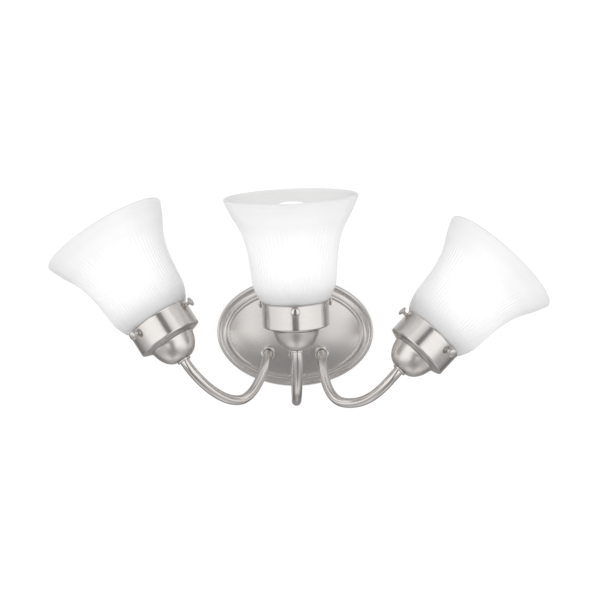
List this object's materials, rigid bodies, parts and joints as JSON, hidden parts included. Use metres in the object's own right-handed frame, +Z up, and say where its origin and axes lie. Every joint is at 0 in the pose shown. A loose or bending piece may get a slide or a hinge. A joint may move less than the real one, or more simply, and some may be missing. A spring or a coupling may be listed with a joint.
{
  "type": "vanity light bar",
  "caption": "Wall light with flared etched-glass shades on brushed tube arms that bend out of one oval backplate.",
  "frame": {"origin": "centre of the backplate's back plane, on the wall", "axes": "+X to the right as seen from the room, +Y into the wall, +Z up"},
  "size_m": [0.4774, 0.1896, 0.2139],
  "materials": {
    "brushed_nickel": "satin brushed nickel plate, fine circular and lengthwise grain",
    "etched_glass": "white etched pressed glass, fine vertical ribs, satin",
    "bulb_glass": "soft white coated",
    "plated_brass": "bright",
    "zinc_steel": "zinc plated",
    "aluminium_cap": "plain rolled",
    "phenolic_white": "moulded, slightly glossy",
    "green_screw": "green plated",
    "lead_jacket": "extruded jacket",
    "connector_plastic": "moulded, ribbed"
  },
  "bodies": {
    "fixture": {"backplate": "brushed_nickel", "crossbar": "zinc_steel", "centre_nipple": "zinc_steel", "nipple_lock_nut": "zinc_steel", "plate_cap_nut": "brushed_nickel", "ground_screw": "green_screw", "wire_connector_left": "connector_plastic", "wire_connector_right": "connector_plastic", "arm_left": "brushed_nickel", "ferrule_left": "brushed_nickel", "arm_nut_left": "zinc_steel", "lead_left": "lead_jacket", "collar_left": "brushed_nickel", "cup_left": "brushed_nickel", "cup_nut_left": "zinc_steel", "shade_holder_left": "brushed_nickel", "socket_left": "phenolic_white", "socket_shell_left": "plated_brass", "socket_contact_left": "plated_brass", "arm_centre": "brushed_nickel", "ferrule_centre": "brushed_nickel", "arm_nut_centre": "zinc_steel", "lead_centre": "lead_jacket", "collar_centre": "brushed_nickel", "cup_centre": "brushed_nickel", "cup_nut_centre": "zinc_steel", "shade_holder_centre": "brushed_nickel", "socket_centre": "phenolic_white", "socket_shell_centre": "plated_brass", "socket_contact_centre": "plated_brass", "arm_right": "brushed_nickel", "ferrule_right": "brushed_nickel", "arm_nut_right": "zinc_steel", "lead_right": "lead_jacket", "collar_right": "brushed_nickel", "cup_right": "brushed_nickel", "cup_nut_right": "zinc_steel", "shade_holder_right": "brushed_nickel", "socket_right": "phenolic_white", "socket_shell_right": "plated_brass", "socket_contact_right": "plated_brass"},
    "left_shade": {"shade_left": "etched_glass"},
    "left_bulb": {"bulb_left": "bulb_glass", "bulb_cap_left": "aluminium_cap"},
    "left_screw_1": {"thumb_screw_left_1": "brushed_nickel"},
    "left_screw_2": {"thumb_screw_left_2": "brushed_nickel"},
    "left_screw_3": {"thumb_screw_left_3": "brushed_nickel"},
    "centre_shade": {"shade_centre": "etched_glass"},
    "centre_bulb": {"bulb_centre": "bulb_glass", "bulb_cap_centre": "aluminium_cap"},
    "centre_screw_1": {"thumb_screw_centre_1": "brushed_nickel"},
    "centre_screw_2": {"thumb_screw_centre_2": "brushed_nickel"},
    "centre_screw_3": {"thumb_screw_centre_3": "brushed_nickel"},
    "right_shade": {"shade_right": "etched_glass"},
    "right_bulb": {"bulb_right": "bulb_glass", "bulb_cap_right": "aluminium_cap"},
    "right_screw_1": {"thumb_screw_right_1": "brushed_nickel"},
    "right_screw_2": {"thumb_screw_right_2": "brushed_nickel"},
    "right_screw_3": {"thumb_screw_right_3": "brushed_nickel"}
  },
  "joints": [
    {"name": "left_shade_lift", "type": "slide", "parent": "fixture", "child": "left_shade", "axis": [-0.5389, 0.2672, 0.7989], "range_m": [0, 0.026]},
    {"name": "left_bulb_turn", "type": "hinge", "parent": "fixture", "child": "left_bulb", "pos_m": [-0.1181, -0.0974, 0.0115], "axis": [-0.5389, 0.2672, 0.7989], "range_deg": [0, 720]},
    {"name": "left_screw_1_travel", "type": "slide", "parent": "fixture", "child": "left_screw_1", "axis": [0.7905, -0.1673, 0.5892], "range_m": [0, 0.0025]},
    {"name": "left_screw_2_travel", "type": "slide", "parent": "fixture", "child": "left_screw_2", "axis": [-0.1431, 0.9055, -0.3994], "range_m": [0, 0.0025]},
    {"name": "left_screw_3_travel", "type": "slide", "parent": "fixture", "child": "left_screw_3", "axis": [-0.6474, -0.7382, -0.1897], "range_m": [0, 0.0025]},
    {"name": "centre_shade_lift", "type": "slide", "parent": "fixture", "child": "centre_shade", "axis": [-0.0419, 0, 0.9991], "range_m": [0, 0.026]},
    {"name": "centre_bulb_turn", "type": "hinge", "parent": "fixture", "child": "centre_bulb", "pos_m": [0.0013, -0.127, 0.0308], "axis": [-0.0419, 0, 0.9991], "range_deg": [0, 720]},
    {"name": "centre_screw_1_travel", "type": "slide", "parent": "fixture", "child": "centre_screw_1", "axis": [0, -1, 0], "range_m": [0, 0.0025]},
    {"name": "centre_screw_2_travel", "type": "slide", "parent": "fixture", "child": "centre_screw_2", "axis": [0.8653, 0.5, 0.0363], "range_m": [0, 0.0025]},
    {"name": "centre_screw_3_travel", "type": "slide", "parent": "fixture", "child": "centre_screw_3", "axis": [-0.8653, 0.5, -0.0363], "range_m": [0, 0.0025]},
    {"name": "right_shade_lift", "type": "slide", "parent": "fixture", "child": "right_shade", "axis": [0.6828, 0.247, 0.6876], "range_m": [0, 0.026]},
    {"name": "right_bulb_turn", "type": "hinge", "parent": "fixture", "child": "right_bulb", "pos_m": [0.1154, -0.0974, -0.0008], "axis": [0.6828, 0.247, 0.6876], "range_deg": [0, 720]},
    {"name": "right_screw_1_travel", "type": "slide", "parent": "fixture", "child": "right_screw_1", "axis": [0.5324, -0.8127, -0.2368], "range_m": [0, 0.0025]},
    {"name": "right_screw_2_travel", "type": "slide", "parent": "fixture", "child": "right_screw_2", "axis": [0.1671, 0.8634, -0.4761], "range_m": [0, 0.0025]},
    {"name": "right_screw_3_travel", "type": "slide", "parent": "fixture", "child": "right_screw_3", "axis": [-0.6995, -0.0507, 0.7128], "range_m": [0, 0.0025]}
  ]
}
